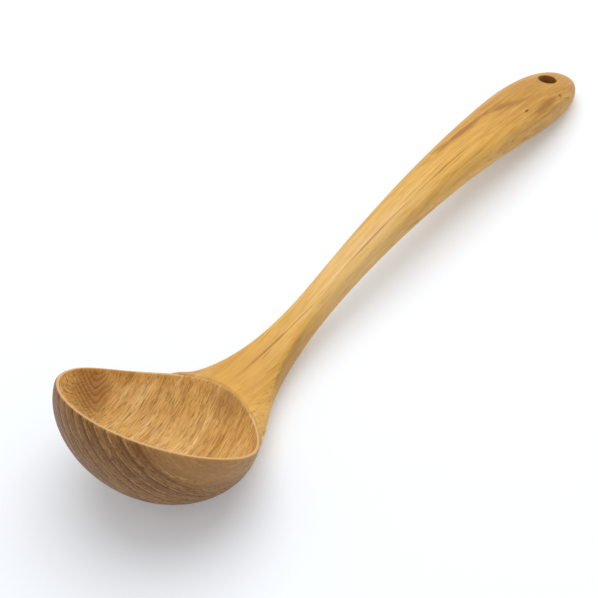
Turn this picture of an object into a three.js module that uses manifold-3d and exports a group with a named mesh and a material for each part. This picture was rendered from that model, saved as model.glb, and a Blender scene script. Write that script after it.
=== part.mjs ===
// A teak soup ladle, lying on a table on its bowl and on the end of its handle.
// Millimetres, +Z up, +X from the bowl to the handle's end, Y across.
// The pieces are shaped in the ladle's own frame, with the mouth level, and then laid down together.
import * as THREE from 'three';
import { mergeVertices } from 'three/addons/utils/BufferGeometryUtils.js';
import Module from 'manifold-3d';

// Bowl
const BOWL_RADIUS = 44;          // outside, at the rim
const BOWL_DEPTH = 35.6;         // outside, from the level of the rim's sides to the underside
const BOWL_POWER = 1.94;         // fullness of the bowl's profile, 2 is an ellipse
const BOWL_LEAN = 3.8;           // how far the bottom lies towards the handle
const RIM_WALL = 2.6;            // wall at the rim
const FLOOR_WALL = 4.5;          // wall at the bottom
const RIM_RISE = 10.4;           // how far the rim climbs to meet the handle
const RIM_RISE_POWER = 4;        // a higher power keeps the climb closer to the handle
const LIP_DROP = 2.1;            // how far the rim falls to the lip across from the handle
const LIP_DROP_POWER = 1.5;
const FLAT_DEPTH = 0.7;          // sanded off the underside where the bowl stands

// Handle, by distance along its middle line from the bowl's rim
const HANDLE_LENGTH = 250.7;
const NECK_AT = 68.8;            // where the handle is slimmest
const ROOT_WIDTH = 43.8;
const NECK_WIDTH = 13.9;
const END_WIDTH = 34.8;          // what the taper reaches at the end, before the end is rounded
const ROOT_THICKNESS = 17;
const NECK_THICKNESS = 14.8;
const END_THICKNESS = 21.5;
const FLARE_POWER = 2.66;        // how quickly the root's flare dies out
const FLARE_BURIED = 6;          // how far inside the rim the root still widens
const FILLET = 3.1;              // swell of the root's flanks where they meet the bowl
const FILLET_REACH = 11.8;       // how far from the bowl the swell starts
const TAPER_POWER = 1.38;        // how late the grip widens
const ROOT_ANGLE = 29.8;         // slope against the mouth, in degrees
const NECK_ANGLE = 49.8;
const END_ANGLE = 20.9;
const ROOT_BEND_POWER = 3;       // how quickly the root's bend dies out
const END_ROUND = 54.1;          // length of the rounded end
const END_WIDTH_POWER = 2.2;     // fullness of the rounded end, seen from above
const END_THICKNESS_POWER = 2.6; // and from the side
const SECTION_POWER = 2.5;       // 2 is an ellipse, higher is squarer
const HOLE_DIAMETER = 9;         // hanging hole, drilled straight down as the ladle lies
const HOLE_INSET = 15.8;         // from the handle's end, along the middle line

// Joint
const PEG_DIAMETER = 8;
const PEG_REACH = 20;            // into the handle, from the rim's station
const JOINT_GAP = 0.3;           // glue line round the peg and between bowl and handle

// Facets
const BOWL_SEGMENTS = 84;
const PROFILE_STEPS = 12;
const LIP_STEPS = 4;
const SECTION_POINTS = 32;
const SHAFT_ROWS = 44;
const END_ROWS = 12;
const ROUND_SEGMENTS = 32;
const SPINE_STEPS = 96;
const ANGLE_STEPS = 40;
const MERGE_DISTANCE = 1e-4;

const wasm = await Module();
wasm.setup();

// A closed geometry as a solid that can be cut: equal corners merged, empty triangles dropped.
function solidOf(geometry) {
  const bare = geometry.clone();
  bare.deleteAttribute('normal');
  bare.deleteAttribute('uv');
  const merged = mergeVertices(bare, MERGE_DISTANCE);
  const corners = merged.index.array;
  const triangles = [];
  for (let i = 0; i < corners.length; i += 3) {
    const [a, b, c] = [corners[i], corners[i + 1], corners[i + 2]];
    if (a !== b && b !== c && c !== a) triangles.push(a, b, c);
  }
  return new wasm.Manifold(new wasm.Mesh({
    numProp: 3,
    vertProperties: merged.attributes.position.array,
    triVerts: new Uint32Array(triangles),
  }));
}

function meshOf(name, solid, material) {
  const { vertProperties, triVerts } = solid.getMesh();
  const geometry = new THREE.BufferGeometry();
  geometry.setAttribute('position', new THREE.BufferAttribute(vertProperties, 3));
  geometry.setIndex(new THREE.BufferAttribute(triVerts, 1));
  geometry.computeVertexNormals();
  const mesh = new THREE.Mesh(geometry, material);
  mesh.name = name;
  return mesh;
}

// The bottom leans towards the handle. The rim is level at the sides, climbs to the handle and falls to
// the lip, and the wall below follows it less and less.
function shapeBowl(geometry) {
  const position = geometry.attributes.position;
  for (let i = 0; i < position.count; i += 1) {
    const z = position.getZ(i);
    const x = position.getX(i) - BOWL_LEAN * Math.min(0, z / BOWL_DEPTH);
    const climb = RIM_RISE * Math.max(0, x / BOWL_RADIUS) ** RIM_RISE_POWER;
    const fall = LIP_DROP * Math.max(0, -x / BOWL_RADIUS) ** LIP_DROP_POWER;
    const share = THREE.MathUtils.clamp(1 + z / BOWL_DEPTH, 0, 1) ** 2;
    position.setX(i, x);
    position.setZ(i, z + (climb - fall) * share);
  }
  return geometry;
}

// A sine or cosine drawn out to a superellipse of that power.
function superellipse(share, power) {
  return Math.sign(share) * Math.abs(share) ** (2 / power);
}

// The bowl's profile, from its axis out to its rim.
function bowlCurve(radius, depth) {
  const points = [];
  for (let i = 0; i <= PROFILE_STEPS; i += 1) {
    const angle = (Math.PI / 2) * (i / PROFILE_STEPS);
    const out = radius * superellipse(Math.sin(angle), BOWL_POWER);
    const down = depth * superellipse(Math.cos(angle), BOWL_POWER);
    points.push(new THREE.Vector2(out, -down));
  }
  return points;
}

function revolve(points) {
  const geometry = new THREE.LatheGeometry(points, BOWL_SEGMENTS);
  geometry.rotateX(Math.PI / 2);
  return shapeBowl(geometry);
}

// The bowl's outside or inside carried straight up, as a body to cut with.
function bowlPlug(radius, depth) {
  const top = 2 * BOWL_RADIUS + RIM_RISE;
  const points = bowlCurve(radius, depth);
  points.push(new THREE.Vector2(radius, top), new THREE.Vector2(0, top));
  return solidOf(revolve(points));
}

function bowlShell() {
  const insideRadius = BOWL_RADIUS - RIM_WALL;
  const points = bowlCurve(BOWL_RADIUS, BOWL_DEPTH);
  for (let i = 1; i < LIP_STEPS; i += 1) {
    const angle = Math.PI * (i / LIP_STEPS);
    const out = BOWL_RADIUS - RIM_WALL / 2 + (RIM_WALL / 2) * Math.cos(angle);
    points.push(new THREE.Vector2(out, (RIM_WALL / 2) * Math.sin(angle)));
  }
  points.push(...bowlCurve(insideRadius, BOWL_DEPTH - FLOOR_WALL).reverse());
  return solidOf(revolve(points));
}

// Slope of the handle's middle line, in radians, at a distance from the bowl's rim.
function riseAt(along) {
  const toNeck = Math.max(0, 1 - along / NECK_AT) ** ROOT_BEND_POWER;
  const pastNeck = Math.max(0, (along - NECK_AT) / (HANDLE_LENGTH - NECK_AT));
  const degrees = NECK_ANGLE + (ROOT_ANGLE - NECK_ANGLE) * toNeck + (END_ANGLE - NECK_ANGLE) * pastNeck;
  return THREE.MathUtils.degToRad(degrees);
}

// Point on the middle line. The root's upper face starts at the top of the rim.
function spineAt(along) {
  const root = THREE.MathUtils.degToRad(ROOT_ANGLE);
  const rimTop = RIM_RISE + RIM_WALL / 2;
  const point = new THREE.Vector3(
    BOWL_RADIUS + (ROOT_THICKNESS / 2) * Math.sin(root),
    0,
    rimTop - (ROOT_THICKNESS / 2) * Math.cos(root),
  );
  const step = along / SPINE_STEPS;
  for (let i = 0; i < SPINE_STEPS; i += 1) {
    const rise = riseAt((i + 0.5) * step);
    point.x += Math.cos(rise) * step;
    point.z += Math.sin(rise) * step;
  }
  return point;
}

// Half width and half thickness: a flared root, a slim neck, a widening grip and a rounded end.
function halfSizesAt(along) {
  const flare = Math.max(0, 1 - Math.max(-FLARE_BURIED, along) / NECK_AT) ** FLARE_POWER;
  const taper = Math.max(0, (along - NECK_AT) / (HANDLE_LENGTH - NECK_AT)) ** TAPER_POWER;
  const width = NECK_WIDTH + (ROOT_WIDTH - NECK_WIDTH) * flare + (END_WIDTH - NECK_WIDTH) * taper;
  const thickness = NECK_THICKNESS + (ROOT_THICKNESS - NECK_THICKNESS) * flare
    + (END_THICKNESS - NECK_THICKNESS) * taper;
  const intoEnd = THREE.MathUtils.clamp(1 - (HANDLE_LENGTH - along) / END_ROUND, 0, 1);
  return {
    width: (width / 2) * (1 - intoEnd ** END_WIDTH_POWER) ** (1 / END_WIDTH_POWER),
    thickness: (thickness / 2) * (1 - intoEnd ** END_THICKNESS_POWER) ** (1 / END_THICKNESS_POWER),
  };
}

// Swell of the root at a point this far outside the bowl.
function filletAt(x, y, z) {
  const level = Math.min(0, z) * (BOWL_RADIUS / BOWL_DEPTH);
  const outside = Math.max(0, Math.hypot(x, y, level) - BOWL_RADIUS);
  return FILLET * Math.max(0, 1 - outside / FILLET_REACH) ** 2;
}

function handleRing(along) {
  const centre = spineAt(along);
  const rise = riseAt(along);
  const half = halfSizesAt(along);
  const points = [];
  for (let i = 0; i < SECTION_POINTS; i += 1) {
    const turn = 2 * Math.PI * (i / SECTION_POINTS);
    const side = superellipse(Math.cos(turn), SECTION_POWER);
    const top = superellipse(Math.sin(turn), SECTION_POWER);
    const x = centre.x - Math.sin(rise) * half.thickness * top;
    const z = centre.z + Math.cos(rise) * half.thickness * top;
    const swell = filletAt(x, half.width * side, z);
    points.push([x, (half.width + swell) * side, z]);
  }
  return points;
}

// Rings joined into a skin, with a fan to a middle point at each end.
function loft(rings, first, last) {
  const count = rings[0].length;
  const positions = [...rings.flat(2), ...first.toArray(), ...last.toArray()];
  const firstIndex = rings.length * count;
  const lastIndex = firstIndex + 1;
  const finalRing = (rings.length - 1) * count;
  const index = [];
  for (let i = 0; i < count; i += 1) {
    const next = (i + 1) % count;
    index.push(firstIndex, next, i);
    for (let row = 0; row < finalRing; row += count) {
      index.push(row + i, row + next, row + count + next);
      index.push(row + i, row + count + next, row + count + i);
    }
    index.push(lastIndex, finalRing + i, finalRing + next);
  }
  const geometry = new THREE.BufferGeometry();
  geometry.setAttribute('position', new THREE.Float32BufferAttribute(positions, 3));
  geometry.setIndex(index);
  return geometry;
}

function handleBlank() {
  const buried = -BOWL_RADIUS / 2;
  const endStart = HANDLE_LENGTH - END_ROUND;
  const stations = [];
  for (let i = 0; i < SHAFT_ROWS; i += 1) {
    stations.push(THREE.MathUtils.lerp(buried, endStart, i / SHAFT_ROWS));
  }
  for (let i = 0; i < END_ROWS; i += 1) {
    stations.push(endStart + END_ROUND * Math.sin((Math.PI / 2) * (i / END_ROWS)));
  }
  return solidOf(loft(stations.map(handleRing), spineAt(buried), spineAt(HANDLE_LENGTH)));
}

// A round bar between two points on the ladle's middle plane.
function bar(diameter, from, to) {
  const length = from.distanceTo(to);
  const geometry = new THREE.CylinderGeometry(diameter / 2, diameter / 2, length, ROUND_SEGMENTS);
  const direction = to.clone().sub(from).normalize();
  const turn = new THREE.Quaternion().setFromUnitVectors(new THREE.Vector3(0, 1, 0), direction);
  geometry.applyQuaternion(turn);
  const middle = from.clone().add(to).divideScalar(2);
  geometry.translate(middle.x, middle.y, middle.z);
  return solidOf(geometry);
}

// The peg's line runs along the root of the handle, from inside the bowl.
const pegEnd = spineAt(PEG_REACH);
const pegLine = pegEnd.clone().sub(spineAt(0)).normalize();
const insideBowl = spineAt(0).addScaledVector(pegLine, -BOWL_RADIUS / 2);
const hollow = bowlPlug(BOWL_RADIUS - RIM_WALL, BOWL_DEPTH - FLOOR_WALL);
const pegHoleEnd = pegEnd.clone().addScaledVector(pegLine, JOINT_GAP);
const pegHole = bar(PEG_DIAMETER + 2 * JOINT_GAP, insideBowl, pegHoleEnd);
const peg = bar(PEG_DIAMETER, insideBowl, pegEnd).subtract(hollow);
const bowl = bowlShell().subtract(pegHole);
const handle = handleBlank()
  .subtract(bowlPlug(BOWL_RADIUS + JOINT_GAP, BOWL_DEPTH + JOINT_GAP))
  .subtract(pegHole);

// Corners of a solid on the ladle's middle plane, from some x on.
function cornersOf(solid, fromX = -Infinity) {
  const { vertProperties } = solid.getMesh();
  const corners = [];
  for (let i = 0; i < vertProperties.length; i += 3) {
    const corner = { x: vertProperties[i], z: vertProperties[i + 2] };
    if (corner.x > fromX) corners.push(corner);
  }
  return corners;
}

// Corners after the ladle is tipped by an angle about Y.
function tip(corners, angle) {
  const [cos, sin] = [Math.cos(angle), Math.sin(angle)];
  return corners.map(({ x, z }) => ({ x: x * cos + z * sin, z: z * cos - x * sin }));
}

function lowest(corners, angle) {
  return Math.min(...tip(corners, angle).map((corner) => corner.z));
}

const bowlCorners = cornersOf(bowl);

// Tip the ladle until the end of its handle is level with the flat to be sanded under the bowl.
function restingAngle() {
  const grip = cornersOf(handle, spineAt(NECK_AT).x);
  let high = Math.PI / 2;
  let low = 0;
  for (let i = 0; i < ANGLE_STEPS; i += 1) {
    const angle = (low + high) / 2;
    if (lowest(grip, angle) > lowest(bowlCorners, angle) + FLAT_DEPTH) low = angle;
    else high = angle;
  }
  return (low + high) / 2;
}

const restAngle = restingAngle();
const tableHeight = lowest(bowlCorners, restAngle) + FLAT_DEPTH;

// The bowl with its underside sanded to the table's plane.
function sandedBowl() {
  const size = 4 * BOWL_RADIUS;
  const waste = new THREE.BoxGeometry(size, size, size);
  waste.translate(0, 0, tableHeight - size / 2);
  waste.rotateY(-restAngle);
  return bowl.subtract(solidOf(waste));
}

function flatMiddle(solid) {
  const tipped = tip(cornersOf(solid), restAngle);
  const onTable = tipped.filter((corner) => corner.z < tableHeight + MERGE_DISTANCE);
  const xs = onTable.map((corner) => corner.x);
  return (Math.min(...xs) + Math.max(...xs)) / 2;
}

function drilledHandle() {
  const centre = spineAt(HANDLE_LENGTH - HOLE_INSET);
  const up = new THREE.Vector3(-Math.sin(restAngle), 0, Math.cos(restAngle));
  const below = centre.clone().addScaledVector(up, -2 * END_THICKNESS);
  const above = centre.clone().addScaledVector(up, 2 * END_THICKNESS);
  return handle.subtract(bar(HOLE_DIAMETER, below, above));
}

const standingBowl = sandedBowl();
const wood = (color, roughness) => new THREE.MeshStandardMaterial({ color, roughness, metalness: 0 });

const ladle = new THREE.Group();
ladle.rotation.y = restAngle;
ladle.position.set(-flatMiddle(standingBowl), 0, -tableHeight);
ladle.add(
  meshOf('bowl', standingBowl, wood(0xb98a58, 0.55)),
  meshOf('handle', drilledHandle(), wood(0xd6a055, 0.5)),
  meshOf('joint_peg', peg, wood(0xa8773f, 0.6)),
);

const part = new THREE.Group();
part.add(ladle);

export default part;
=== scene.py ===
"""A teak ladle lying on a pale table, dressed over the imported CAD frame.

Shapes are worked out in millimetres in the ladle's own frame, with the mouth level and +X to the
handle, then laid down as the CAD lies. Blender objects are in metres in the CAD's frame.
"""
import math

import bpy
import numpy as np
from mathutils import Matrix, Vector


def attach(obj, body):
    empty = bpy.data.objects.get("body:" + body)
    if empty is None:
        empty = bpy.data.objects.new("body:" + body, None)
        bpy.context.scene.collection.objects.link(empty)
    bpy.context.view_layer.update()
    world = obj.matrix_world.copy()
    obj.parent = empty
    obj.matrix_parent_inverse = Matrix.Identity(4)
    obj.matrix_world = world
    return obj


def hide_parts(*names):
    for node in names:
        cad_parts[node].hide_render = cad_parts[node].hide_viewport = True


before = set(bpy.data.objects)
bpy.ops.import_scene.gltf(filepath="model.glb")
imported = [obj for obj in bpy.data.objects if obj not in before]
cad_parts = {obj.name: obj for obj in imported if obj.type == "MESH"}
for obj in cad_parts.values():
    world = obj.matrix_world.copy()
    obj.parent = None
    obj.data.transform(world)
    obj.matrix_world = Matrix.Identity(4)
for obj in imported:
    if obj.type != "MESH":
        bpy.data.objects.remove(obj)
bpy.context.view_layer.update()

# Bowl, as in the CAD
BOWL_RADIUS = 44.0
BOWL_DEPTH = 35.6
BOWL_POWER = 1.94
BOWL_LEAN = 3.8
RIM_WALL = 2.6
FLOOR_WALL = 4.5
RIM_RISE = 10.4
RIM_RISE_POWER = 4.0
LIP_DROP = 2.1
LIP_DROP_POWER = 1.5

# Handle, as in the CAD
HANDLE_LENGTH = 250.7
NECK_AT = 68.8
ROOT_WIDTH, NECK_WIDTH, END_WIDTH = 43.8, 13.9, 34.8
ROOT_THICKNESS, NECK_THICKNESS, END_THICKNESS = 17.0, 14.8, 21.5
FLARE_POWER = 2.66
FLARE_BURIED = 6.0
FILLET_REACH = 11.8
TAPER_POWER = 1.38
ROOT_ANGLE, NECK_ANGLE, END_ANGLE = 29.8, 49.8, 20.9
ROOT_BEND_POWER = 3.0
END_ROUND = 54.1
END_WIDTH_POWER, END_THICKNESS_POWER = 2.2, 2.6
# The CAD's section has one power. Here it is round at the bowl, squarer and narrower at the neck, and
# in between along the shaft.
FOOT_POWER, NECK_POWER, SHAFT_POWER = 2.0, 3.0, 2.4
FOOT_KEPT, NECK_KEPT, SHAFT_KEPT = 1.03, 0.96, 1.0
FOOT_REACH = 26.0
SHAFT_FROM, SHAFT_FULL = 30.0, 62.0
HOLE_DIAMETER = 9.0
HOLE_INSET = 15.8
PEG_DIAMETER = 8.0
PEG_REACH = 20.0

# How the CAD lies: tipped about Y, then moved so that the sanded flat is at the origin
REST_ANGLE = math.radians(39.78255)
FLAT_MIDDLE = 7.2395
TABLE_HEIGHT = -39.59504

# Finish of the edges and joints
GLUE_LINE = 0.04
FILLET_LEFT, FILLET_RIGHT = 2.4, 4.5       # the foot feathers out along the bowl,
FEATHER_LEFT, FEATHER_RIGHT = 2.2, 5.0     # more suddenly on its right side than on its left
HOLE_WORN = 0.6                            # narrower than the drill by the swollen, oiled wall
HOLE_EDGE = 0.35
HOLE_CLEAR = 8.0                           # how far the cutter stands out of the handle
PEG_BORE_DEEPER = 0.5
LIP_EDGE = 0.3                             # rounding of the hollow's edge; the outer side is a wide curve
LIP_THIN = 1.0                             # the hollow opens out towards its edge
LIP_THIN_DEPTH = 12.0
LIP_POWER = 2.0
LIP_SQUARE = 10.0                          # added to that power where the handle's top runs on from the lip
ROOT_FROM = math.radians(31)               # the root's share of the rim starts here
ROOT_FULL = math.radians(23)
RIM_CUT = 1.3                              # the handle laps over the wall's outside there
RIM_CUT_DEPTH = 9.0
FLUSH_REACH = 14.0                         # over which the handle's top is eased to the rim's level
FLUSH_MOST = 3.0
RAISED_FROM, RAISED_FULL = 0.35, 0.75      # sines of the turns between which it may also be raised

# Facets
BOWL_SEGMENTS = 240
WALL_STEPS = 52
LIP_STEPS = 12
SECTION_POINTS = 96
ROOT_ROWS = 44
SHAFT_ROWS = 120
END_ROWS = 36
ROUND_SEGMENTS = 64
HOLE_EDGE_STEPS = 8
HOLE_SLOPE_SAMPLES = 9
PEG_RINGS = 10
SPINE_SAMPLES = 4000
SEAM_SAMPLES = 1400
ROOT_ROW_POWER = 1.3                       # the rows lie closer together near the seam
CAP_SHARES = (0.75, 0.5, 0.25, 0.0)
HALVINGS = 40

# Camera, read off the outline: degrees, and metres in the CAD's frame
IMAGE_SIDE = 598
VIEW_TURN = math.radians(46.164)
VIEW_HEIGHT = math.radians(46.119)
VIEW_ROLL = math.radians(-6.896)
VIEW_DISTANCE = 1.24
PIXELS_PER_METRE = 2384.0
AIM_RIGHT = 0.050053
AIM_UP = 0.070176
SENSOR = 36.0

# A hair under full size about this middle, as the CAD's facets cut its round corners
KEPT_IN = 0.9998
MIDDLE_X = 117.0


# Shapes

def rim_lift(x):
    """How far the rim stands above the level of its sides."""
    climb = RIM_RISE * np.maximum(0, x / BOWL_RADIUS) ** RIM_RISE_POWER
    fall = LIP_DROP * np.maximum(0, -x / BOWL_RADIUS) ** LIP_DROP_POWER
    return climb - fall


def swept(points):
    """Points of a plain revolved bowl, carried up and down with the rim."""
    x, y, z = np.moveaxis(points, -1, 0)
    x = x - BOWL_LEAN * np.minimum(0, z / BOWL_DEPTH)
    share = np.clip(1 + z / BOWL_DEPTH, 0, 1) ** 2
    return np.stack([x, y, z + rim_lift(x) * share], -1)


def unswept_level(x, z):
    """The level in the plain revolved bowl that swept() carries to z."""
    lift = rim_lift(x)
    safe = np.where(np.abs(lift) < 1e-6, 1e-6, lift)
    root = np.sqrt(np.maximum(0, BOWL_DEPTH ** 2 + 4 * safe * (BOWL_DEPTH + z)))
    share = (root - BOWL_DEPTH) / (2 * safe)
    return np.where(share > 1, z - lift, BOWL_DEPTH * (share - 1))


def root_share(turn):
    """1 where the handle meets the rim, 0 round the rest of it."""
    off_axis = np.abs((turn + np.pi) % (2 * np.pi) - np.pi)
    return smooth(ROOT_FROM, ROOT_FULL, off_axis)


def lap(turn, level):
    """How far the wall's outside is cut back under the handle's foot."""
    return RIM_CUT * root_share(turn) * smooth(-RIM_CUT_DEPTH, 0, level)


def hollow_radius(level):
    return BOWL_RADIUS - RIM_WALL + LIP_THIN * smooth(-LIP_THIN_DEPTH, 0, level)


def unswept(points):
    """Distances along and across the plain revolved bowl, and the level in it, 0 above its rim."""
    x, y, z = np.moveaxis(points, -1, 0)
    level = np.minimum(0, unswept_level(x, z))
    return x + BOWL_LEAN * level / BOWL_DEPTH, y, level


def outside_of(out, level, depth):
    """Below 0 inside a bowl of radius 1 and that depth carried straight up, above 0 outside it."""
    return (out ** BOWL_POWER + np.abs(level / depth) ** BOWL_POWER) ** (1 / BOWL_POWER) - 1


def outside_bowl(points):
    x, y, level = unswept(points)
    radius = BOWL_RADIUS + GLUE_LINE - lap(np.arctan2(y, x), level)
    return outside_of(np.hypot(x, y) / radius, level, BOWL_DEPTH + GLUE_LINE)


def outside_hollow(points, wall=0.0):
    x, y, level = unswept(points)
    return outside_of(np.hypot(x, y) / (hollow_radius(level) + wall), level, BOWL_DEPTH - FLOOR_WALL + wall)


def superellipse(share, power):
    return np.sign(share) * np.abs(share) ** (2 / power)


def smooth(low, high, value):
    share = np.clip((value - low) / (high - low), 0, 1)
    return share * share * (3 - 2 * share)


def rise_at(along):
    """Slope of the handle's middle line."""
    to_neck = np.maximum(0, 1 - along / NECK_AT) ** ROOT_BEND_POWER
    past_neck = np.maximum(0, (along - NECK_AT) / (HANDLE_LENGTH - NECK_AT))
    degrees = NECK_ANGLE + (ROOT_ANGLE - NECK_ANGLE) * to_neck + (END_ANGLE - NECK_ANGLE) * past_neck
    return np.radians(degrees)


SPINE_ALONG = np.linspace(-BOWL_RADIUS, HANDLE_LENGTH, SPINE_SAMPLES)


def spine_table():
    """The middle line, added up from its slopes and moved so that the root's top starts at the rim's."""
    rise = rise_at(SPINE_ALONG)
    step = SPINE_ALONG[1] - SPINE_ALONG[0]
    x = np.concatenate([[0], np.cumsum((np.cos(rise[1:]) + np.cos(rise[:-1])) / 2) * step])
    z = np.concatenate([[0], np.cumsum((np.sin(rise[1:]) + np.sin(rise[:-1])) / 2) * step])
    root = math.radians(ROOT_ANGLE)
    x += BOWL_RADIUS + ROOT_THICKNESS / 2 * math.sin(root) - np.interp(0, SPINE_ALONG, x)
    z += RIM_RISE + RIM_WALL / 2 - ROOT_THICKNESS / 2 * math.cos(root) - np.interp(0, SPINE_ALONG, z)
    return x, z


SPINE_X, SPINE_Z = spine_table()


def spine_at(along):
    return np.interp(along, SPINE_ALONG, SPINE_X), np.interp(along, SPINE_ALONG, SPINE_Z)


def half_sizes(along):
    """Half the handle's width and thickness, as in the CAD."""
    flare = np.maximum(0, 1 - np.maximum(-FLARE_BURIED, along) / NECK_AT) ** FLARE_POWER
    taper = np.maximum(0, (along - NECK_AT) / (HANDLE_LENGTH - NECK_AT)) ** TAPER_POWER
    width = NECK_WIDTH + (ROOT_WIDTH - NECK_WIDTH) * flare + (END_WIDTH - NECK_WIDTH) * taper
    thickness = (NECK_THICKNESS + (ROOT_THICKNESS - NECK_THICKNESS) * flare
                 + (END_THICKNESS - NECK_THICKNESS) * taper)
    into_end = np.clip(1 - (HANDLE_LENGTH - along) / END_ROUND, 0, 1)
    width = width / 2 * (1 - into_end ** END_WIDTH_POWER) ** (1 / END_WIDTH_POWER)
    thickness = thickness / 2 * (1 - into_end ** END_THICKNESS_POWER) ** (1 / END_THICKNESS_POWER)
    return width, thickness


def along_handle(foot, neck, shaft, along):
    """A value that goes over from the foot's to the neck's and on to the shaft's."""
    past_foot, past_neck = smooth(0, FOOT_REACH, along), smooth(SHAFT_FROM, SHAFT_FULL, along)
    return foot + (neck - foot) * past_foot + (shaft - neck) * past_neck


def handle_skin(along, turn):
    """Points of the handle's skin at distances along its middle line and turns about it."""
    x, z = spine_at(along)
    rise = rise_at(along)
    width, thickness = half_sizes(along)
    width = width * along_handle(FOOT_KEPT, NECK_KEPT, SHAFT_KEPT, along)
    power = along_handle(FOOT_POWER, NECK_POWER, SHAFT_POWER, along)
    side = superellipse(np.cos(turn), power)
    top = superellipse(np.sin(turn), power)
    x = x - np.sin(rise) * thickness * top
    z = z + np.cos(rise) * thickness * top
    level = np.minimum(0, z) * (BOWL_RADIUS / BOWL_DEPTH)
    outside = np.maximum(0, np.sqrt(x * x + (width * side) ** 2 + level ** 2) - BOWL_RADIUS)
    near = np.maximum(0, 1 - outside / FILLET_REACH)
    left, right = FILLET_LEFT * near ** FEATHER_LEFT, FILLET_RIGHT * near ** FEATHER_RIGHT
    swell = np.where(np.cos(turn) > 0, left, right)
    return np.stack([x, (width + swell) * side, z], -1)


def laid(points):
    """From the ladle's own frame in millimetres to the CAD's frame in metres, on the table."""
    x, y, z = np.moveaxis(np.asarray(points, float), -1, 0)
    cos, sin = math.cos(REST_ANGLE), math.sin(REST_ANGLE)
    along = MIDDLE_X + KEPT_IN * (x * cos + z * sin - FLAT_MIDDLE - MIDDLE_X)
    height = np.maximum(0, z * cos - x * sin - TABLE_HEIGHT)
    return np.stack([along, KEPT_IN * y, KEPT_IN * height], -1) / 1000


def picked_up(points):
    """From the CAD's frame in metres back to the ladle's own frame."""
    x, y, z = np.moveaxis(np.asarray(points, float) * 1000, -1, 0)
    cos, sin = math.cos(REST_ANGLE), math.sin(REST_ANGLE)
    x, z = x + FLAT_MIDDLE, z + TABLE_HEIGHT
    return np.stack([x * cos - z * sin, y, x * sin + z * cos], -1)


# Meshes

def mesh_object(name, points, faces):
    mesh = bpy.data.meshes.new(name)
    mesh.from_pydata([tuple(p) for p in points], [], faces)
    mesh.validate()
    mesh.shade_smooth()
    made = bpy.data.objects.new(name, mesh)
    bpy.context.scene.collection.objects.link(made)
    return made


def tube_faces(rows, count):
    """Quads between closed rings of points, and fans to the two poles stored after them."""
    faces = []
    last = (rows - 1) * count
    for i in range(count):
        j = (i + 1) % count
        faces.append((rows * count, j, i))
        for row in range(0, last, count):
            faces.append((row + i, row + j, row + count + j, row + count + i))
        faces.append((rows * count + 1, last + i, last + j))
    return faces


def tube_object(name, rings, poles):
    """A closed skin over rings of points, with a pole at each end."""
    points = np.concatenate([rings.reshape(-1, 3), poles])
    return mesh_object(name, points, tube_faces(*rings.shape[:2]))


def cut(piece, tool):
    """Takes the tool's shape out of the piece, and the tool out of the scene."""
    difference = piece.modifiers.new("cut", "BOOLEAN")
    difference.operation = "DIFFERENCE"
    difference.solver = "EXACT"
    difference.object = tool
    bpy.context.view_layer.update()
    depsgraph = bpy.context.evaluated_depsgraph_get()
    mesh = bpy.data.meshes.new_from_object(piece.evaluated_get(depsgraph))
    piece.modifiers.remove(difference)
    piece.data = mesh
    bpy.data.objects.remove(tool)


def bowl_rings():
    """Rings of the bowl, from the underside's pole over the lip to the hollow's pole."""
    turn = np.linspace(0, 2 * np.pi, BOWL_SEGMENTS, endpoint=False)
    power = LIP_POWER + LIP_SQUARE * root_share(turn)
    rings = []

    def ring(out, level):
        rings.append(np.stack([out * np.cos(turn), out * np.sin(turn), level + 0 * turn], -1))

    for angle in np.linspace(0, np.pi / 2, WALL_STEPS + 1)[1:]:
        out, down = superellipse(np.array([math.sin(angle), math.cos(angle)]), BOWL_POWER)
        ring((BOWL_RADIUS - lap(turn, -BOWL_DEPTH * down)) * out, -BOWL_DEPTH * down)
    inner = hollow_radius(0.0) + LIP_EDGE
    width = BOWL_RADIUS - lap(turn, 0.0) - inner
    top = RIM_WALL / 2
    for angle in np.linspace(0, np.pi / 2, LIP_STEPS + 1)[1:]:
        across, up = max(0, math.cos(angle)), math.sin(angle)
        ring(inner + width * across ** (2 / power), top * up ** (2 / power))
    for angle in np.linspace(0, np.pi / 2, LIP_STEPS // 2 + 1)[1:]:
        ring(inner - LIP_EDGE * math.sin(angle), top - LIP_EDGE * (1 - math.cos(angle)))
    for angle in np.linspace(np.pi / 2, 0, WALL_STEPS + 1)[:-1]:
        out, down = superellipse(np.array([math.sin(angle), math.cos(angle)]), BOWL_POWER)
        level = -(BOWL_DEPTH - FLOOR_WALL) * down
        ring(hollow_radius(level) * out, level)
    return np.array(rings)


def make_bowl():
    poles = np.array([[0, 0, -BOWL_DEPTH], [0, 0, FLOOR_WALL - BOWL_DEPTH]])
    return tube_object("ladle_bowl", laid(swept(bowl_rings())), laid(swept(poles)))


def seam_stations(turn):
    """Where each line along the handle's skin comes out of the bowl."""
    along = np.linspace(-BOWL_RADIUS / 2, NECK_AT / 2, SEAM_SAMPLES)
    outside = outside_bowl(handle_skin(along[:, None], turn[None, :]))
    last_in = len(along) - 1 - np.argmax(outside[::-1] < 0, axis=0)
    column = np.arange(len(turn))
    before, after = outside[last_in, column], outside[last_in + 1, column]
    return along[last_in] + (along[1] - along[0]) * before / (before - after)


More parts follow.
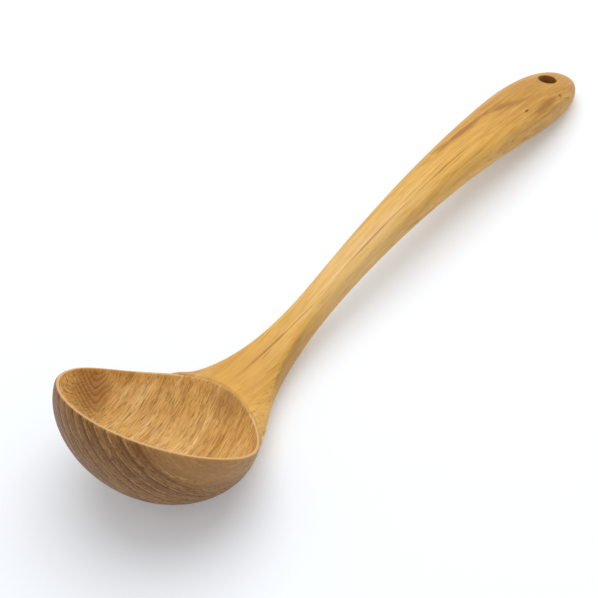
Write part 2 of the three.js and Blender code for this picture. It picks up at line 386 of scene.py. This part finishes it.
def handle_rings():
    """Rings of the handle, from its seam with the bowl to its rounded end."""
    turn = np.linspace(0, 2 * np.pi, SECTION_POINTS, endpoint=False)
    start = seam_stations(turn)
    free = NECK_AT / 2
    rows = [start + (free - start) * (i / ROOT_ROWS) ** ROOT_ROW_POWER for i in range(ROOT_ROWS)]
    end_start = HANDLE_LENGTH - END_ROUND
    shaft = [free + (end_start - free) * i / SHAFT_ROWS for i in range(SHAFT_ROWS)]
    round_end = [end_start + END_ROUND * math.sin(np.pi / 2 * i / END_ROWS) for i in range(END_ROWS)]
    rows += [np.full(len(turn), along) for along in shaft + round_end]
    along = np.array(rows)
    rings = handle_skin(along, turn[None, :])

    # The root's top is eased up or down to run on from the rim, and its sides only down
    seam = rings[0]
    out = np.hypot(seam[:, 0], seam[:, 1])
    rim_top = rim_lift(seam[:, 0] * BOWL_RADIUS / out) + RIM_WALL / 2
    miss = np.clip(rim_top - seam[:, 2], -FLUSH_MOST, FLUSH_MOST)
    miss = np.where(miss > 0, miss * smooth(RAISED_FROM, RAISED_FULL, np.sin(turn)), miss)
    fade = np.maximum(0, 1 - (along - start) / FLUSH_REACH) ** 2
    rings[..., 2] += miss * fade
    return rings


def seam_cap(ring):
    """Rings that close the handle's foot along the bowl's outside, and the cap's middle point."""
    middle = ring.mean(0)
    stretch = BOWL_RADIUS / BOWL_DEPTH
    rings = []
    for share in CAP_SHARES:
        points = middle + (ring - middle) * share
        level = unswept_level(points[:, 0], points[:, 2])
        reach = np.sqrt(points[:, 0] ** 2 + points[:, 1] ** 2 + (np.minimum(0, level) * stretch) ** 2)
        turn = np.arctan2(points[:, 1], points[:, 0])
        scale = (BOWL_RADIUS + GLUE_LINE - lap(turn, level)) / reach
        points[:, :2] *= scale[:, None]
        rings.append(points)
    return rings[:-1], rings[-1].mean(0)


def make_handle():
    rings = handle_rings()
    cap, foot = seam_cap(rings[0])
    rings = np.concatenate([np.array(cap[::-1]), rings])
    x, z = spine_at(HANDLE_LENGTH)
    return tube_object("ladle_handle", laid(rings), laid(np.array([foot, [x, 0, z]])))


def hole_cutter():
    """A spool with eased ends that follows the slope of the handle's upper and lower faces."""
    station = HANDLE_LENGTH - HOLE_INSET
    reach = (HOLE_DIAMETER - HOLE_WORN) / 2
    beside = np.linspace(station - reach, station + reach, HOLE_SLOPE_SAMPLES)
    x, z = spine_at(station)
    centre = laid(np.array([x, 0, z]))
    turn = np.linspace(0, 2 * np.pi, ROUND_SEGMENTS, endpoint=False)
    profile = [(reach + HOLE_EDGE, -HOLE_CLEAR)]
    for angle in np.linspace(0, np.pi / 2, HOLE_EDGE_STEPS):
        profile.append((reach + HOLE_EDGE * (1 - math.sin(angle)), HOLE_EDGE * (1 - math.cos(angle))))
    halves = []
    for up in (1, -1):
        face = laid(handle_skin(beside, up * np.pi / 2))
        slope, height = np.polyfit(face[:, 0] - centre[0], face[:, 2], 1)
        half = []
        for radius, sunk in profile:
            x = radius / 1000 * np.cos(turn)
            y = radius / 1000 * np.sin(turn)
            half.append(np.stack([centre[0] + x, y, height + slope * x - up * sunk / 1000], -1))
        halves.append(half)
    rings = np.array(halves[1] + halves[0][::-1])
    return tube_object("hole_cutter", rings, np.array([rings[0].mean(0), rings[-1].mean(0)]))


def peg_bar(name, diameter, beyond, flush):
    """A round bar on the peg's line. A flush one ends on the bowl's inside, the other well inside it."""
    start, end = (np.array([x, 0, z]) for x, z in (spine_at(0.0), spine_at(PEG_REACH)))
    line = (end - start) / np.linalg.norm(end - start)
    across = np.array([0.0, 1.0, 0.0])
    upward = np.cross(line, across)
    turn = np.linspace(0, 2 * np.pi, ROUND_SEGMENTS, endpoint=False)
    spoke = np.cos(turn)[:, None] * across + np.sin(turn)[:, None] * upward

    def face(radius):
        points = end + radius * spoke
        if not flush:
            return points - (BOWL_RADIUS / 2) * line
        low = np.full(len(turn), -BOWL_RADIUS)
        high = np.zeros(len(turn))
        for _ in range(HALVINGS):
            middle = (low + high) / 2
            inside = outside_hollow(points + middle[:, None] * line) < 0
            low, high = np.where(inside, middle, low), np.where(inside, high, middle)
        return points + high[:, None] * line

    rings = [face(diameter / 2 * share) for share in np.linspace(1 / PEG_RINGS, 1, PEG_RINGS)]
    rings += [end + beyond * line + radius * spoke for radius in (diameter / 2, diameter / 4)]
    rings = np.array(rings)
    return tube_object(name, laid(rings), laid(np.array([rings[0].mean(0), rings[-1].mean(0)])))


def peg_cutter():
    return peg_bar("peg_cutter", PEG_DIAMETER + GLUE_LINE, PEG_BORE_DEEPER, False)


bowl = make_bowl()
cut(bowl, peg_cutter())
handle = make_handle()
cut(handle, peg_cutter())
cut(handle, hole_cutter())
peg = peg_bar("ladle_peg", PEG_DIAMETER, 0.0, True)


# What the materials read from the meshes

# Lengths are in millimetres, and places in the CAD's frame
GRAIN_RISE = math.radians(12)                     # of the bowl's fibres, against the table
LAYER_NORMAL = np.array([-0.222, 0.777, -0.589])  # across the bowl's growth layers
LAYER_TILT = 0.35                                 # of the handle's layers, away from upright
SPINE_STRIDE = 4                                  # the nearest place on the middle line is looked for
SEARCH_PARTS = 60                                 # among every fourth sample, a part of the mesh at a time
FLANK_FROM, FLANK_FULL = 6.0, 22.0                # the handle's flanks get painted shade from here on,
FLANK_FADE = 0.75                                 # and less of it by this share along the shaft
FLANK_LEAST, FLANK_MOST = 0.76, 0.90              # sideways part of the normal on a flank
LIP_FROM, LIP_WHOLE = 0.8, 1.2                    # levels above the middle of the rim's wall
LIP_FAINTER = 0.85                                # the share of the lip's tone lost beside the handle
ARCH_TIP = np.array([-7.0, 37.2, 24.6])
ARCH_BLUNT = 0.8
ARCH_STEP = 2.0
ARCH_MIDDLE = np.array([-6.8, 38.6, 29.5])
ARCH_FROM, ARCH_FULL = 15.0, 5.0
BROWN_PATCH_MIDDLE = np.array([28.3, -5.9, 18.2])
BROWN_PATCH_FROM, BROWN_PATCH_FULL = 11.0, 3.0
BROWN_PATCH_DEPTH = 0.45
HOLE_SHADE_FADE = 0.7                                 # the hole's right wall gets less painted shade by this share, as painted light
HOLE_LIGHT_FROM, HOLE_LIGHT_TO = -0.5, 2.5


def put_attribute(piece, name, values):
    kind, field = ("FLOAT_VECTOR", "vector") if values.ndim == 2 else ("FLOAT", "value")
    attribute = piece.data.attributes.new(name, kind, "POINT")
    attribute.data.foreach_set(field, values.astype(np.float32).ravel())


def corners_of(piece):
    points = np.empty(len(piece.data.vertices) * 3, np.float32)
    piece.data.vertices.foreach_get("co", points)
    return points.reshape(-1, 3).astype(float)


def straight_grain(piece):
    """Fibres run straight through the piece. Outside the hollow they show along its slanting layers."""
    points = corners_of(piece) * 1000
    along = np.array([math.cos(GRAIN_RISE), 0, math.sin(GRAIN_RISE)])
    up = np.array([-math.sin(GRAIN_RISE), 0, math.cos(GRAIN_RISE)])
    layer = points @ LAYER_NORMAL
    hollow = outside_hollow(picked_up(points / 1000), LIP_EDGE) < 0
    across = np.where(hollow, points[:, 1], layer)
    put_attribute(piece, "grain", np.stack([points @ along, across, points @ up], -1))
    put_attribute(piece, "layer", layer)
    put_attribute(piece, "hollow", hollow.astype(float))


def bent_grain(piece):
    """Fibres follow the handle's middle line, and the layers stand on edge along it."""
    points = picked_up(corners_of(piece))
    every = slice(None, None, SPINE_STRIDE)
    spine = np.stack([SPINE_X[every], SPINE_Z[every]], -1)
    nearest = np.concatenate([
        np.argmin(((part[:, None, :] - spine[None]) ** 2).sum(-1), axis=1)
        for part in np.array_split(points[:, [0, 2]], SEARCH_PARTS)])
    along = SPINE_ALONG[every][nearest]
    rise = rise_at(along)
    off = points[:, [0, 2]] - spine[nearest]
    height = off[:, 1] * np.cos(rise) - off[:, 0] * np.sin(rise)
    put_attribute(piece, "grain", np.stack([along, points[:, 1], height], -1))
    put_attribute(piece, "layer", points[:, 1] + LAYER_TILT * height)

    # Where painted shade goes on the handle's flanks: strongest near the root, fading along the shaft
    normals = np.empty(len(points) * 3, np.float32)
    piece.data.vertex_normals.foreach_get("vector", normals)
    flank_shade = smooth(FLANK_LEAST, FLANK_MOST, np.abs(normals[1::3]))
    on_shaft = smooth(SHAFT_FROM, SHAFT_FULL, along)
    shaded = smooth(FLANK_FROM, FLANK_FULL, along) * (1 - FLANK_FADE * on_shaft)
    put_attribute(piece, "flank_shade", flank_shade * shaded)


def edge_marks(piece):
    """Where the bowl's lip is, fainter beside the handle."""
    points = picked_up(corners_of(piece))
    level = unswept_level(points[:, 0], points[:, 2])
    faint = 1 - LIP_FAINTER * root_share(np.arctan2(points[:, 1], points[:, 0]))
    put_attribute(piece, "lip", smooth(LIP_FROM, LIP_WHOLE, level) * faint)


def hollow_figure(piece):
    """Pointed arches of grain on the hollow's left wall, and a browner patch near the handle."""
    points = corners_of(piece) * 1000

    def nearness(middle, low, high):
        return smooth(low, high, np.linalg.norm(points - middle, axis=-1))

    x, _, z = (points - ARCH_TIP).T
    arch = (x + z) / 2 - np.sqrt(((x - z) / 2) ** 2 + ARCH_BLUNT)
    put_attribute(piece, "arch", arch / ARCH_STEP)
    put_attribute(piece, "arch_share", nearness(ARCH_MIDDLE, ARCH_FROM, ARCH_FULL))
    put_attribute(piece, "brown_patch", BROWN_PATCH_DEPTH * nearness(BROWN_PATCH_MIDDLE, BROWN_PATCH_FROM, BROWN_PATCH_FULL))


def hole_wall_shading(piece):
    """Painted shade on the wall of the hanging hole, less of it towards its right side, where painted light
    stands in.
    """
    x, z = spine_at(HANDLE_LENGTH - HOLE_INSET)
    centre = laid(np.array([x, 0, z]))
    x, y = (corners_of(piece) - centre)[:, :2].T * 1000
    wall = (HOLE_DIAMETER - HOLE_WORN) / 2
    on_hole_wall = smooth(wall + HOLE_EDGE, wall, np.hypot(x, y))
    to_right = smooth(HOLE_LIGHT_FROM, HOLE_LIGHT_TO, (x - y) / math.sqrt(2))
    put_attribute(piece, "hole_shade", on_hole_wall * (1 - HOLE_SHADE_FADE * to_right))


straight_grain(bowl)
edge_marks(bowl)
hollow_figure(bowl)
bent_grain(handle)
hole_wall_shading(handle)
straight_grain(peg)


# Materials

# Noise scales: along the grain, across it and through it
WAVE_SCALE = (0.012, 0.05, 0.05)
PATCH_SCALE = (0.02, 0.08, 0.08)
DRIFT_SCALE = (0.010, 0.07, 0.07)
RAGGED_SCALE = (0.08, 0.5, 0.5)
# Values of a noise between which it starts to show and shows in full
PATCH_SHOWS = (0.35, 0.6)
DRIFT_SHOWS = (0.35, 0.65)
DARK_SHOWS = (0.50, 0.72)
PALE_SHOWS = (0.48, 0.28)
THREAD_SHOWS = (0.42, 0.68)
DASH_EDGE = 0.10
THREAD_SHARE = 0.9         # of the streaks' depth
# Shares of a growth layer
LATE_REACH = 0.55
LINE_AT, LINE_REACH = 0.955, 0.05
FIRST_EDGE = 0.3
# Raggedness and edge of a mark, in shares of its reach
RAGGED = 1.4
MARK_EDGE = (0.2, 1.0)
# Finish
RELIEF_RANGE = (-0.4, 0.8)
ROUGHNESS_RANGE = (0.62, 0.46)
SPECULAR = 0.35
BUMP_STRENGTH = 0.3
BUMP_HEIGHT = 0.00012      # metres
FLANK_SHADE_DEPTH = 0.45
HOLE_SHADE_DEPTH = 0.9
ARCH_TINT = 0.7
ARCH_DEPTH = ARCH_REACH = 0.6
LIP_DEPTH = 0.7
SAPWOOD_FROM, SAPWOOD_FULL, SAPWOOD_DEPTH = -42.0, -52.0, 0.5
# Sockets of a Mix node that is set to colours, whose names it shares with other kinds of value
MIX_FIRST, MIX_SECOND, MIX_RESULT = 6, 7, 2

class Tree:
    """A material's nodes, made one call at a time."""

    def __init__(self, name):
        self.material = bpy.data.materials.new(name)
        self.material.use_nodes = True
        self.nodes = self.material.node_tree.nodes
        self.links = self.material.node_tree.links
        self.shader = self.nodes["Principled BSDF"]

    def put(self, socket, value):
        if isinstance(value, bpy.types.NodeSocket):
            self.links.new(value, socket)
        else:
            socket.default_value = value

    def made(self, kind, values=(), operation=None):
        node = self.nodes.new(kind)
        if operation:
            node.operation = operation
        for socket, value in zip(node.inputs, values):
            self.put(socket, value)
        return node

    def math(self, operation, *values):
        return self.made("ShaderNodeMath", values, operation).outputs[0]

    def vector(self, operation, *values):
        node = self.made("ShaderNodeVectorMath", values, operation)
        return node.outputs["Value" if operation in ("LENGTH", "DOT_PRODUCT") else "Vector"]

    def noise(self, vector, scale, detail, roughness):
        node = self.made("ShaderNodeTexNoise")
        self.put(node.inputs["Vector"], self.vector("MULTIPLY", vector, scale))
        self.put(node.inputs["Scale"], 1.0)
        self.put(node.inputs["Detail"], detail)
        self.put(node.inputs["Roughness"], roughness)
        return node.outputs["Fac"]

    def ramp(self, value, low, high, out_low=0.0, out_high=1.0):
        node = self.made("ShaderNodeMapRange", (value, low, high, out_low, out_high))
        node.interpolation_type = "SMOOTHSTEP"
        return node.outputs[0]

    def mix(self, share, first, second):
        node = self.made("ShaderNodeMix")
        node.data_type = "RGBA"
        self.put(node.inputs["Factor"], share)
        self.put(node.inputs[MIX_FIRST], first)
        self.put(node.inputs[MIX_SECOND], second)
        return node.outputs[MIX_RESULT]

    def combine(self, *values):
        return self.made("ShaderNodeCombineXYZ", values).outputs[0]

    def blend(self, share, first, second):
        node = self.made("ShaderNodeMix")
        self.put(node.inputs["Factor"], share)
        self.put(node.inputs["A"], first)
        self.put(node.inputs["B"], second)
        return node.outputs[0]

    def attribute(self, name, output="Fac"):
        node = self.made("ShaderNodeAttribute")
        node.attribute_name = name
        return node.outputs[output]


def srgb(red, green, blue):
    """A colour as it is seen, 0 to 255, as the linear colour that nodes take."""
    def linear(value):
        value /= 255
        return value / 12.92 if value <= 0.04045 else ((value + 0.055) / 1.055) ** 2.4
    return (linear(red), linear(green), linear(blue), 1.0)


def mark(tree, colour, tone, strength, place, reach, lean):
    """A ragged spot or streak at a place in the grain, with a reach along, across and through it."""
    grain = tree.attribute("grain", "Vector")
    off = tree.vector("SUBTRACT", grain, place)
    axes = ((1 / reach[0], 0, 0), (-lean / reach[1], 1 / reach[1], 0), (0, 0, 1 / reach[2]))
    away = tree.vector("LENGTH", tree.combine(*(tree.vector("DOT_PRODUCT", off, axis) for axis in axes)))
    ragged = tree.math("MULTIPLY_ADD", tree.noise(grain, RAGGED_SCALE, 3.0, 0.6), RAGGED, -RAGGED / 2)
    return tree.mix(tree.ramp(tree.math("ADD", away, ragged), *MARK_EDGE, strength, 0.0), colour, tone)


def teak(tree, tones, layer, fibre):
    """Colour and relief of teak.

    Its growth layers are steps of the mesh's layer value: they start dark, and end in a pale line. Its
    fibres lie along the mesh's grain: broad streaks, fine threads and short, open pores.
    """
    grain = tree.attribute("grain", "Vector")
    wave = tree.noise(grain, WAVE_SCALE, 2.0, 0.5)
    place = tree.math("MULTIPLY_ADD", wave, layer["wave"], tree.attribute("layer"))
    step = tree.math("DIVIDE", tree.math("SUBTRACT", place, layer["start"]), layer["step"])
    phase = tree.math("FRACT", step)
    patchy = tree.ramp(tree.noise(grain, PATCH_SCALE, 2.0, 0.5), *PATCH_SHOWS, layer["faint"], 1.0)
    patchy = tree.math("MULTIPLY", patchy, tree.ramp(step, layer["first"], layer["first"] + FIRST_EDGE))
    late = tree.math("MULTIPLY", tree.ramp(phase, 0.0, LATE_REACH, layer["dark"], 0.0), patchy)
    from_line = tree.math("ABSOLUTE", tree.math("SUBTRACT", phase, LINE_AT))
    line = tree.math("MULTIPLY", tree.ramp(from_line, 0.0, LINE_REACH, layer["pale"], 0.0), patchy)

    drift = tree.noise(grain, DRIFT_SCALE, 3.0, 0.55)
    streak = tree.noise(grain, fibre["streak"], 3.0, 0.6)
    thread = tree.noise(grain, fibre["thread"], 2.0, 0.6)
    sparse = fibre["sparse"]
    dash = tree.ramp(tree.noise(grain, fibre["dash"], 1.0, 0.5), sparse, sparse + DASH_EDGE)
    depth = fibre["depth"]

    colour = tree.mix(tree.ramp(drift, *DRIFT_SHOWS), tones["base"], tones["warm"])
    colour = tree.mix(late, colour, tones["late"])
    colour = tree.mix(line, colour, tones["pale"])
    colour = tree.mix(tree.ramp(streak, *DARK_SHOWS, 0.0, depth), colour, tones["late"])
    colour = tree.mix(tree.ramp(streak, *PALE_SHOWS, 0.0, depth), colour, tones["pale"])
    colour = tree.mix(tree.ramp(thread, *THREAD_SHOWS, 0.0, depth * THREAD_SHARE), colour, tones["late"])
    colour = tree.mix(tree.math("MULTIPLY", dash, fibre["pores"]), colour, tones["pore"])
    return colour, tree.math("SUBTRACT", thread, dash)


def finish(tree, colour, relief):
    """An oiled surface of that colour, with its pores a little sunk and duller."""
    tree.put(tree.shader.inputs["Base Color"], colour)
    tree.put(tree.shader.inputs["Roughness"], tree.ramp(relief, *RELIEF_RANGE, *ROUGHNESS_RANGE))
    tree.put(tree.shader.inputs["Specular IOR Level"], SPECULAR)
    bump = tree.made("ShaderNodeBump")
    tree.put(bump.inputs["Strength"], BUMP_STRENGTH)
    tree.put(bump.inputs["Distance"], BUMP_HEIGHT)
    tree.put(bump.inputs["Height"], relief)
    tree.put(tree.shader.inputs["Normal"], bump.outputs["Normal"])
    return tree.material


def finish_handle():
    tree = Tree("teak_handle")
    colour, relief = teak(
        tree,
        {"base": srgb(236, 186, 94), "warm": srgb(227, 173, 82), "late": srgb(188, 134, 58),
         "pale": srgb(249, 210, 128), "pore": srgb(122, 76, 32)},
        {"wave": 9.0, "start": 5.7, "step": 8.5, "first": -20.0, "faint": 0.1, "dark": 0.22, "pale": 0.2},
        {"streak": (0.018, 0.50, 0.25), "thread": (0.035, 2.0, 0.6), "dash": (0.07, 1.9, 0.7),
         "sparse": 0.62, "depth": 0.40, "pores": 0.36})
    brown, dark = srgb(150, 92, 44), srgb(92, 54, 26)
    marks = (
        # The neck lightened with painted light against its shading, and brown streaks on the grip and along
        # the root
        (srgb(248, 212, 150), 0.42, (88.0, -3.0, 4.0), (62.0, 13.0, 14.0), 0.0),
        (brown, 0.70, (172.0, 4.0, 8.0), (36.0, 2.2, 8.0), -0.03),
        (brown, 0.65, (200.0, -0.5, 9.0), (15.0, 2.8, 8.0), -0.3),
        (brown, 0.65, (215.0, -11.0, 6.0), (12.0, 2.6, 8.0), 0.1),
        (brown, 0.65, (27.0, -0.9, 8.0), (24.0, 0.9, 9.0), -0.07),
        # Hairlines
        (dark, 0.55, (44.0, -2.3, 8.0), (30.0, 0.30, 9.0), -0.07),
        (dark, 0.60, (98.0, -3.6, 7.4), (36.0, 0.34, 9.0), -0.02),
        (dark, 0.55, (150.0, -4.4, 8.0), (30.0, 0.34, 9.0), -0.01),
        # The root and its left corner, and the ends of the seam
        (srgb(212, 150, 62), 0.46, (4.0, 0.0, 6.0), (30.0, 26.0, 16.0), 0.0),
        (srgb(190, 128, 62), 0.9, (-2.0, 22.0, 2.0), (13.0, 11.0, 12.0), 0.0),
        (dark, 0.6, (-1.7, 10.9, 8.3), (1.6, 0.45, 6.0), 2.9),
        (dark, 0.35, (-9.5, -25.3, 4.6), (2.0, 0.5, 6.0), -0.9),
        # The browner end, with two small knots
        (srgb(170, 115, 50), 0.5, (220.0, -2.0, 4.0), (52.0, 24.0, 20.0), 0.0),
        (dark, 0.85, (204.4, -8.6, 8.0), (1.6, 0.9, 8.0), 0.0),
        (dark, 0.75, (228.1, -10.5, 5.0), (1.5, 0.9, 8.0), 0.0),
    )
    for tone, strength, place, reach, lean in marks:
        colour = mark(tree, colour, tone, strength, place, reach, lean)
    # Painted shade on the handle's flanks, a darker brown where less light falls
    flank_shade = tree.math("MULTIPLY", tree.attribute("flank_shade"), FLANK_SHADE_DEPTH)
    colour = tree.mix(flank_shade, colour, srgb(150, 102, 52))
    # Painted shade in the hanging hole, with painted light on its right wall
    hole_shade = tree.math("MULTIPLY", tree.attribute("hole_shade"), HOLE_SHADE_DEPTH)
    colour = tree.mix(hole_shade, colour, srgb(172, 120, 70))
    return finish(tree, colour, relief)


def finish_bowl():
    tree = Tree("teak_bowl")
    # The outside's tones are darker than the inside's, partly as painted shade for the outside lying in
    # shade and partly as the wood's own rosier brown
    outside, relief = teak(
        tree,
        {"base": srgb(163, 115, 56), "warm": srgb(149, 101, 48), "late": srgb(96, 58, 25),
         "pale": srgb(214, 166, 100), "pore": srgb(86, 54, 28)},
        {"wave": 1.2, "start": -44.3, "step": 4.9, "first": -0.1, "faint": 0.8, "dark": 0.75, "pale": 0.85},
        {"streak": (0.03, 0.7, 0.08), "thread": (0.08, 2.6, 0.3), "dash": (0.2, 1.3, 0.8),
         "sparse": 0.53, "depth": 0.58, "pores": 0.5})
    sapwood = tree.ramp(tree.attribute("layer"), SAPWOOD_FROM, SAPWOOD_FULL, 0.0, SAPWOOD_DEPTH)
    outside = tree.mix(sapwood, outside, srgb(194, 146, 88))
    inside, relief_inside = teak(
        tree,
        {"base": srgb(245, 203, 127), "warm": srgb(231, 185, 108), "late": srgb(174, 122, 60),
         "pale": srgb(255, 228, 168), "pore": srgb(96, 60, 26)},
        {"wave": 8.0, "start": -44.3, "step": 6.5, "first": -20.0, "faint": 0.0, "dark": 0.15, "pale": 0.0},
        {"streak": (0.03, 0.36, 0.08), "thread": (0.12, 3.2, 0.35), "dash": (0.22, 3.0, 0.45),
         "sparse": 0.56, "depth": 0.66, "pores": 0.5})
    arched = tree.attribute("arch_share")
    inside = tree.mix(tree.math("MULTIPLY", arched, ARCH_TINT), inside, srgb(168, 114, 54))
    arch = tree.ramp(tree.math("FRACT", tree.attribute("arch")), 0.0, ARCH_REACH, ARCH_DEPTH, 0.0)
    inside = tree.mix(tree.math("MULTIPLY", arch, arched), inside, srgb(112, 72, 34))
    inside = tree.mix(tree.attribute("brown_patch"), inside, srgb(166, 114, 68))
    hollow = tree.attribute("hollow")
    colour = tree.mix(hollow, outside, inside)
    lip = tree.math("MULTIPLY", tree.attribute("lip"), LIP_DEPTH)
    colour = tree.mix(lip, colour, srgb(240, 194, 130))
    return finish(tree, colour, tree.blend(hollow, relief, relief_inside))


def finish_peg():
    tree = Tree("teak_peg")
    return finish(tree, *teak(
        tree,
        {"base": srgb(214, 164, 100), "warm": srgb(204, 152, 90), "late": srgb(160, 110, 60),
         "pale": srgb(228, 184, 122), "pore": srgb(104, 68, 40)},
        {"wave": 3.0, "start": 0.0, "step": 4.9, "first": -20.0, "faint": 0.3, "dark": 0.2, "pale": 0.1},
        {"streak": (0.02, 0.5, 0.5), "thread": (0.06, 1.5, 1.5), "dash": (0.12, 1.9, 1.9),
         "sparse": 0.58, "depth": 0.6, "pores": 0.65}))


handle_wood = finish_handle()
bowl_wood = finish_bowl()
peg_wood = finish_peg()

for piece, node, slot, material in (
        (bowl, "bowl", "bowl_wood", bowl_wood),
        (handle, "handle", "handle_wood", handle_wood),
        (peg, "joint_peg", "peg_wood", peg_wood)):
    piece.data.materials.clear()
    piece.data.materials.append(material)
    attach(piece, "root")
    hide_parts(node)


# Table, light and camera

TABLE_REACH = 3.0
TABLE_TONE = (0.82, 0.86, 0.91, 1.0)
TABLE_ROUGHNESS = 0.9
TABLE_SPECULAR = 0.1
TABLE_GLOW = 0.17          # for the camera and mirrored rays alone, so that the table is seen as white
WHITE = (1.0, 1.0, 1.0, 1.0)
WORLD_STRENGTH = 0.58
KEY_PLACE, KEY_AIM = (0.54, 0.20, 1.60), (0.1, 0.0, 0.0)
KEY_SIZE, KEY_POWER = 1.9, 17.0
CLIP_START = 0.05


def make_table():
    side = TABLE_REACH
    corners = [(-side, -side, 0), (side, -side, 0), (side, side, 0), (-side, side, 0)]
    table = mesh_object("table", np.array(corners, float), [(0, 1, 2, 3)])
    tree = Tree("table_white")
    tree.put(tree.shader.inputs["Base Color"], TABLE_TONE)
    tree.put(tree.shader.inputs["Roughness"], TABLE_ROUGHNESS)
    tree.put(tree.shader.inputs["Specular IOR Level"], TABLE_SPECULAR)
    path = tree.made("ShaderNodeLightPath").outputs
    seen = tree.math("MAXIMUM", path["Is Camera Ray"], path["Is Glossy Ray"])
    seen = tree.math("MAXIMUM", seen, path["Is Transmission Ray"])
    tree.put(tree.shader.inputs["Emission Color"], WHITE)
    tree.put(tree.shader.inputs["Emission Strength"], tree.math("MULTIPLY", seen, TABLE_GLOW))
    table.data.materials.append(tree.material)


def make_world():
    world = bpy.data.worlds.new("studio")
    bpy.context.scene.world = world
    world.use_nodes = True
    background = world.node_tree.nodes["Background"]
    background.inputs["Color"].default_value = WHITE
    background.inputs["Strength"].default_value = WORLD_STRENGTH


def make_lamp(name, place, aim, size, power):
    data = bpy.data.lights.new(name, "AREA")
    data.shape = "DISK"
    data.size = size
    data.energy = power
    lamp = bpy.data.objects.new(name, data)
    lamp.location = place
    lamp.rotation_euler = (Vector(aim) - Vector(place)).to_track_quat("-Z", "Y").to_euler()
    bpy.context.scene.collection.objects.link(lamp)


def make_camera():
    """A level camera turned, raised and rolled about the CAD's origin, then shifted across its view."""
    toward = np.array([-math.sin(VIEW_TURN) * math.cos(VIEW_HEIGHT),
                       -math.cos(VIEW_TURN) * math.cos(VIEW_HEIGHT), math.sin(VIEW_HEIGHT)])
    level = np.array([math.cos(VIEW_TURN), -math.sin(VIEW_TURN), 0.0])
    upright = np.cross(toward, level)
    right = math.cos(VIEW_ROLL) * level + math.sin(VIEW_ROLL) * upright
    up = math.cos(VIEW_ROLL) * upright - math.sin(VIEW_ROLL) * level
    eye = AIM_RIGHT * right + AIM_UP * up + VIEW_DISTANCE * toward
    data = bpy.data.cameras.new("camera")
    data.sensor_width = SENSOR
    data.sensor_fit = "HORIZONTAL"
    data.lens = SENSOR * PIXELS_PER_METRE * VIEW_DISTANCE / IMAGE_SIDE
    data.clip_start = CLIP_START
    camera = bpy.data.objects.new("camera", data)
    camera.matrix_world = Matrix([
        [right[0], up[0], toward[0], eye[0]],
        [right[1], up[1], toward[1], eye[1]],
        [right[2], up[2], toward[2], eye[2]],
        [0, 0, 0, 1]])
    bpy.context.scene.collection.objects.link(camera)
    bpy.context.scene.camera = camera


make_table()
make_world()
make_lamp("key", KEY_PLACE, KEY_AIM, KEY_SIZE, KEY_POWER)
make_camera()
bpy.context.scene.view_settings.view_transform = "Standard"
